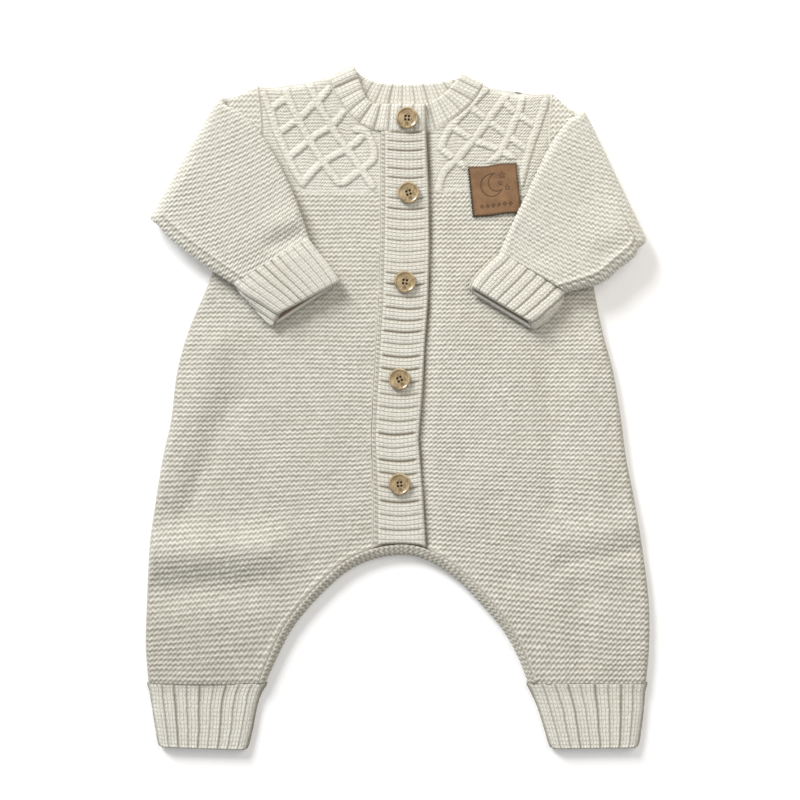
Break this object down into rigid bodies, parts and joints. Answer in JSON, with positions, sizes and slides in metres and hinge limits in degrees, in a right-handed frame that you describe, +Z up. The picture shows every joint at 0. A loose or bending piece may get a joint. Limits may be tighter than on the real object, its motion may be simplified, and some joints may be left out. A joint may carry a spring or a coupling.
{
  "type": "baby romper laid flat",
  "caption": "Long-sleeved knitted baby romper laid flat, sleeves folded over the front, with cabled yokes and ribbed bands.",
  "frame": {"origin": "centre of the underside's bounding box, on the surface that the garment lies on", "axes": "+Y towards the neck, +X to the viewer's right looking down on the front, +Z up out of the surface"},
  "size_m": [0.3692, 0.5014, 0.0185],
  "materials": {
    "knit": "matte cream cotton knit in garter ridges, cabled at the yokes",
    "rib": "matte cream cotton ribbing",
    "leather": "brown leather with a debossed line emblem and a stitched edge",
    "button": "golden olive horn-look resin"
  },
  "bodies": {
    "root": {"back": "knit", "front_left": "knit", "front_right": "knit", "sleeve_left": "knit", "sleeve_right": "knit", "sleeve_cuff_left": "rib", "sleeve_cuff_right": "rib", "leg_cuff_left": "rib", "leg_cuff_right": "rib", "neckband": "rib", "placket": "rib", "button_band": "rib", "patch": "leather", "button_1": "button", "button_2": "button", "button_3": "button", "button_4": "button", "button_5": "button"}
  },
  "joints": []
}
